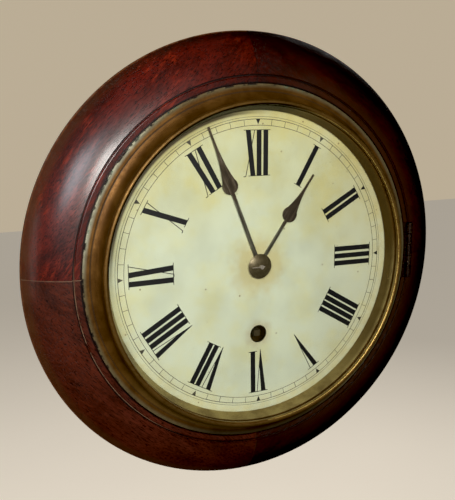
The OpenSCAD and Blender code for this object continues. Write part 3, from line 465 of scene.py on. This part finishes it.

# Each plank of the surround: what mahogany() takes after its name
# the right-hand planks are painted as shaded, darker copies of the left-hand ones
PLANKS = {
    "upper_left": (45, (0.034, 0.0042, 0.0020), (0.092, 0.0090, 0.0048), (0.26, 0.026, 0.009),
                   0.75, LIT_EDGE, 0.75),
    "upper_right": (-45, (0.019, 0.0026, 0.0014), (0.052, 0.0060, 0.0032), (0.15, 0.020, 0.008),
                    0.35, DIM_EDGE, 0.12),
    "lower_left": (-45, (0.034, 0.0080, 0.0040), (0.078, 0.0165, 0.0085), (0.13, 0.028, 0.012),
                   0.35, LIT_EDGE, 0.6),
    "lower_right": (45, (0.018, 0.0042, 0.0024), (0.046, 0.0100, 0.0052), (0.09, 0.018, 0.009),
                    0.3, DIM_EDGE, 0.12),
}
for plank, look in PLANKS.items():
    dress(mahogany("mahogany_" + plank, *look), "surround_" + plank)

case_wood = box_wood("case_mahogany", (0.075, 0.026, 0.013), (0.13, 0.045, 0.020),
                     (0.022, 0.009, 0.005), 1.0, 0.42)
pine = box_wood("old_pine", (0.24, 0.135, 0.060), (0.34, 0.21, 0.10),
                (0.09, 0.048, 0.022), 1.8, 0.62)
brass = plain_metal("movement_brass", (0.62, 0.44, 0.17), (0.30, 0.19, 0.07), 0.34, (6.0, 1.0, 0.7))
ground_steel = plain_metal("ground_steel", (0.36, 0.35, 0.33), (0.16, 0.13, 0.10), 0.33,
                           (1.0, 5.0, 0.8))
bright_steel = plain_metal("bright_steel", (0.50, 0.47, 0.40), (0.40, 0.34, 0.25), 0.3,
                           metallic=0.35)
iron = plain_metal("iron_screws", (0.16, 0.14, 0.12), (0.07, 0.045, 0.03), 0.45)
blued = plain_metal("blued_spring", (0.07, 0.08, 0.12), (0.10, 0.08, 0.06), 0.3)

dress(case_wood, "case_side_left", "case_side_right", "case_top", "case_bottom", "side_door",
      "bottom_door")
dress(pine, "surround_blocks", "case_pegs", "backboard")
dress(bezel_brass(), "bezel_ring", "sight_ring", "bezel_stud")
dress(hinge_patina(), "bezel_leaf", "surround_leaf")
dress(brass, "hanging_plate", "side_door_leaves", "door_hinges", "side_catch", "bottom_catch",
      "front_plate", "back_plate", "pillars", "back_cock", "setup_ratchet", "barrel_drum",
      "barrel_cap", "fusee_cone", "great_wheel", "centre_wheel", "third_wheel", "escape_wheel",
      "cannon_wheel", "minute_wheel", "hour_wheel", "pendulum_bob", "rating_nut", "dial_feet")
dress(ground_steel, "movement_screws", "taper_pins", "barrel_arbor", "fusee_chain",
      "winding_click", "pallets", "crutch", "pendulum_rod")
dress(bright_steel, "centre_arbor", "hand_pin")
dress(iron, "wood_screws")
dress(blued, "mainspring", "suspension_spring")
dress(dial_paint(), "dial_plate")
dress(hand_steel("minute_hand_steel", 21.5, 44.0), "minute_hand")
dress(hand_steel("hour_hand_steel", -35.2, 27.0), "hour_hand")
dress(collet_metal(), "hand_collet", "fusee_arbor")
dress(clear_glass(), "bezel_glass")


# ---------------------------------------------------------------- painted numerals and track
def piece(name, shade, body):
    """An empty mesh object that rides the body, to be filled by the caller."""
    mesh = bpy.data.meshes.new(name)
    obj = bpy.data.objects.new(name, mesh)
    bpy.context.scene.collection.objects.link(obj)
    mesh.materials.append(shade.mat)
    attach(obj, body)
    return obj


def slab(bm, points, low, high):
    """A closed prism over an outline, from low to high out from the wall."""
    area = sum(a[0] * b[1] - b[0] * a[1] for a, b in zip(points, points[1:] + points[:1]))
    if area < 0:
        points = points[::-1]
    front = [bm.verts.new(at(x, y, high)) for x, y in points]
    back = [bm.verts.new(at(x, y, low)) for x, y in points]
    bm.faces.new(front)
    bm.faces.new(back[::-1])
    for i in range(len(points)):
        j = (i + 1) % len(points)
        bm.faces.new((front[i], back[i], back[j], front[j]))


def ring(bm, inner, outer, low, high, steps=360):
    """A closed flat ring about the dial's axis, from low to high out from the wall."""
    turns = [2 * math.pi * i / steps for i in range(steps)]
    loops = [[bm.verts.new(at(r * math.sin(t), r * math.cos(t), z)) for t in turns]
             for r, z in ((inner, low), (inner, high), (outer, high), (outer, low))]
    for one, other in zip(loops, loops[1:] + loops[:1]):
        for i in range(steps):
            j = (i + 1) % steps
            bm.faces.new((one[i], other[i], other[j], one[j]))


def on_dial(hour, spots):
    """Points (across, radius) of an hour's mark, as dial x and y."""
    a = math.radians(30 * hour)
    return [(r * math.sin(a) + t * math.cos(a), r * math.cos(a) - t * math.sin(a))
            for t, r in spots]


# The paint: sunk a little into the dial, thick in the strokes and thin in hairlines and serifs
PAINT = 0.06
SUNK = DIAL_FRONT - 0.01
FULL, THIN = DIAL_FRONT + PAINT, DIAL_FRONT + PAINT * 0.7
CURL_LIFT, SERIF_LIFT = 0.002, 0.004

R_TOP, R_FOOT, R_POINT = 87.4, 58.7, 57.8
HALF = 3.4 / 2
HAIR = 0.5
HAIR_SERIF = 0.6
SERIF = 0.42
OVERHANG = 1.5

# Each numeral, as its strokes from left to right with the dial's centre below. A stroke is given
# by where its middle is at the top and at the foot, across the dial in millimetres. A V adds its
# hairline's top, and an X adds its hairline's top and foot.
NUMERALS = {
    1: (("I", -0.4, -0.4),),
    2: (("I", -2.7, -3.0), ("I", 2.0, 1.7)),
    3: (("I", -5.2, -5.6), ("I", -0.2, -0.6), ("I", 4.9, 4.4)),
    4: (("I", -6.4, -6.9), ("I", -1.9, -2.4), ("I", 2.5, 1.9), ("I", 6.9, 6.4)),
    5: (("V", -1.0, 1.8, 3.5),),
    6: (("V", -3.8, -1.5, 0.9), ("I", 4.0, 4.1)),
    7: (("V", -7.8, -3.8, -2.8), ("I", 0.8, 0.9), ("I", 5.1, 5.3)),
    8: (("V", -8.7, -6.1, -4.2), ("I", -1.2, -1.0), ("I", 3.5, 3.7), ("I", 8.2, 8.4)),
    9: (("I", -3.2, -3.2), ("X", 2.5, 4.5, 7.9, 0.3)),
    10: (("X", -2.5, 3.0, 2.6, -2.6),),
    11: (("X", -3.6, -2.1, 1.0, -6.4), ("I", 3.6, 2.9)),
    12: (("X", -6.9, -3.7, -2.4, -8.8), ("I", 0.7, 0.6), ("I", 5.5, 5.3)),
}


def quad(top, foot, half_top, half_foot, r_top=R_TOP, r_foot=R_FOOT):
    return [(top - half_top, r_top), (top + half_top, r_top),
            (foot + half_foot, r_foot), (foot - half_foot, r_foot)]


def thick_stroke(bm, hour, top, foot):
    """Returns the spans that serifs cover at the top and at the foot, as the next two do."""
    slab(bm, on_dial(hour, quad(top, foot, HALF, HALF)), SUNK, FULL)
    return [(top - HALF, top + HALF)], [(foot - HALF, foot + HALF)]


def vee(bm, hour, top, point, hair):
    """A V: its thick stroke, cut off where the hairline meets its right edge, and the hairline."""
    height = R_TOP - R_POINT
    slope = (point - top) / height
    cut_r = R_TOP
    if hair > top + HALF:
        cut_r -= (hair - top - HALF) / (slope + (hair - point) / height)
    cut = top + HALF + slope * (R_TOP - cut_r)
    outline = [(top - HALF, R_TOP), (top + HALF, R_TOP), (cut, cut_r),
               (point + 0.15, R_POINT), (point - 0.15, R_POINT)]
    slab(bm, on_dial(hour, outline), SUNK, FULL)
    slab(bm, on_dial(hour, quad(hair, point, HAIR / 2, HAIR / 3, R_TOP, R_POINT)), SUNK, THIN)
    return [(top - HALF, top + HALF), (hair - HAIR_SERIF, hair + HAIR_SERIF)], []


def cross(bm, hour, top, foot, hair_top, hair_foot):
    """An X: its thick stroke, the hairline across it and the curl at the hairline's foot."""
    thick_stroke(bm, hour, top, foot)
    hairline = quad(hair_top, hair_foot, HAIR / 2, HAIR / 2, R_TOP, R_FOOT - 0.4)
    slab(bm, on_dial(hour, hairline), SUNK, THIN)
    curl = [(hair_foot - 1.6, R_FOOT - 0.1), (hair_foot + 0.2, R_FOOT),
            (hair_foot + 0.1, R_FOOT - 0.5), (hair_foot - 1.4, R_FOOT - 0.6)]
    slab(bm, on_dial(hour, curl), SUNK, THIN + CURL_LIFT)
    return [(top - HALF, max(top + HALF, hair_top))], [(foot - HALF, foot + HALF)]


STROKES = {"I": thick_stroke, "V": vee, "X": cross}


def draw_numerals(shade):
    obj = piece("dial_numerals", shade, "case")
    bm = bmesh.new()
    for hour, strokes in NUMERALS.items():
        tops, feet = [], []
        for kind, *places in strokes:
            top_spans, foot_spans = STROKES[kind](bm, hour, *places)
            tops += top_spans
            feet += foot_spans
        for spans, r in ((tops, R_TOP), (feet, R_FOOT)):
            if spans:
                left = min(s[0] for s in spans) - OVERHANG
                right = max(s[1] for s in spans) + OVERHANG
                serif = [(left, r - SERIF / 2), (left, r + SERIF / 2),
                         (right, r + SERIF / 2), (right, r - SERIF / 2)]
                slab(bm, on_dial(hour, serif), SUNK, THIN + SERIF_LIFT)
    bm.to_mesh(obj.data)
    bm.free()


# The minute track: two circles with ticks between them, and a hairline circle outside
TRACK_IN, TRACK_OUT = 90.3, 94.2
TRACK_RINGS = ((TRACK_OUT, 0.36), (TRACK_IN, 0.32), (95.7, 0.2))
TRACK_FRONT = DIAL_FRONT + 0.03
TICK_LIFT, MARK_LIFT = 0.004, 0.008
TICK_HALF, MARK_HALF, MARK_GAP = 0.15, 1.5, 0.5


def draw_track(shade):
    obj = piece("minute_track", shade, "case")
    bm = bmesh.new()
    for r, width in TRACK_RINGS:
        ring(bm, r - width / 2, r + width / 2, SUNK, TRACK_FRONT)
    for minute in range(60):
        if minute % 5:
            tick = [(-TICK_HALF, TRACK_IN), (TICK_HALF, TRACK_IN),
                    (TICK_HALF, TRACK_OUT), (-TICK_HALF, TRACK_OUT)]
            slab(bm, on_dial(minute / 5, tick), SUNK, TRACK_FRONT + TICK_LIFT)
        else:
            mark = [(0.0, TRACK_IN + MARK_GAP), (MARK_HALF, TRACK_OUT), (-MARK_HALF, TRACK_OUT)]
            slab(bm, on_dial(minute / 5, mark), SUNK, TRACK_FRONT + MARK_LIFT)
    bm.to_mesh(obj.data)
    bm.free()


draw_numerals(numeral_paint())
draw_track(track_ink())


# ---------------------------------------------------------------- stage
FLOOR_Z, WALL_TOP, REACH = -0.95, 14, 6


def stage_paint(name, colour, glow):
    s = Shade(name, Roughness=0.9, Emission_Color=(*colour, 1.0), Emission_Strength=glow)
    soft = s.noise(s.p, 0.002, 2.0)
    s.set("Base Color", s.mix(s.span(soft, 0.3, 0.7), colour, scaled(colour, 0.96)))
    return s


def plane(name, corners, shade):
    """A flat stage piece, seen by the camera alone: it is neither a light nor a reflection."""
    mesh = bpy.data.meshes.new(name)
    mesh.from_pydata([Vector(c) for c in corners], [], [tuple(range(len(corners)))])
    obj = bpy.data.objects.new(name, mesh)
    bpy.context.scene.collection.objects.link(obj)
    mesh.materials.append(shade.mat)
    obj.visible_glossy = obj.visible_diffuse = obj.visible_transmission = False


floor_paint = stage_paint("floor_paint", (0.78, 0.70, 0.58), 0.5)
plane("floor", [(x, y, FLOOR_Z) for x, y in
                ((-REACH, -REACH), (REACH, -REACH), (REACH, REACH), (-REACH, REACH))], floor_paint)
wall_paint = stage_paint("backdrop_paint", (0.78, 0.66, 0.48), 0.62)
ROOM = ((-REACH, REACH), (REACH, REACH), (REACH, -REACH), (-REACH, -REACH))
for side, (start, end) in enumerate(zip(ROOM, ROOM[1:] + ROOM[:1])):
    corners = ((*start, FLOOR_Z), (*end, FLOOR_Z), (*end, WALL_TOP), (*start, WALL_TOP))
    plane(f"backdrop_{side}", corners, wall_paint)


# ---------------------------------------------------------------- camera and light
def facing(where, towards):
    """The turn that points a camera or lamp at where towards a place."""
    return (Vector(towards) - Vector(where)).to_track_quat("-Z", "Y")


CAMERA, AIM = (-0.19600, -0.49395, 0.09713), (-0.02192, -0.10500, 0.01234)
ROLL = math.radians(-0.565)
camera = bpy.data.objects.new("camera", bpy.data.cameras.new("camera"))
camera.data.lens = 49.07
camera.data.clip_start = 0.01
camera.rotation_mode = "QUATERNION"
camera.location = CAMERA
camera.rotation_quaternion = facing(CAMERA, AIM) @ Quaternion((0, 0, 1), ROLL)
bpy.context.scene.collection.objects.link(camera)
bpy.context.scene.camera = camera


def lamp(name, where, towards, size, power, colour=(1, 1, 1)):
    data = bpy.data.lights.new(name, "AREA")
    data.shape, data.size, data.size_y = "RECTANGLE", size[0], size[1]
    data.energy, data.color = power, colour
    obj = bpy.data.objects.new(name, data)
    obj.rotation_mode = "QUATERNION"
    obj.location = where
    obj.rotation_quaternion = facing(where, towards)
    bpy.context.scene.collection.objects.link(obj)


lamp("key", (-0.14, -0.58, 0.16), (0, -0.1, 0), (0.14, 0.10), 2.1, (1.0, 0.98, 0.93))
lamp("window", (-0.66, -1.00, 0.41), (-0.1, -0.1, 0.05), (0.34, 0.34), 4.9, (0.95, 0.94, 1.0))
lamp("front_soft", (-0.45, -1.5, 0.5), (0, -0.1, 0), (1.0, 0.8), 0.8, (1.0, 0.97, 0.93))
lamp("left_strip", (-1.07, -0.48, 0.0), (-0.14, -0.1, 0), (0.04, 0.5), 0.5, (1.0, 0.9, 0.78))
lamp("back_left", (-1.15, 1.30, 0.90), (0, 0, 0), (0.8, 0.8), 12.0)
lamp("back_right", (1.15, 1.30, 0.90), (0, 0, 0), (0.8, 0.8), 18.0)

world = bpy.data.worlds.new("studio")
world.use_nodes = True
background = world.node_tree.nodes["Background"]
background.inputs["Color"].default_value = (1.0, 0.95, 0.88, 1.0)
background.inputs["Strength"].default_value = 0.006
bpy.context.scene.world = world

# a photographic toe: the deepest shades go to black
BLACK_LEVEL = 0.0045
view = bpy.context.scene.view_settings
view.view_transform = "Standard"
view.use_curve_mapping = True
view.curve_mapping.black_level = (BLACK_LEVEL,) * 3
view.curve_mapping.update()
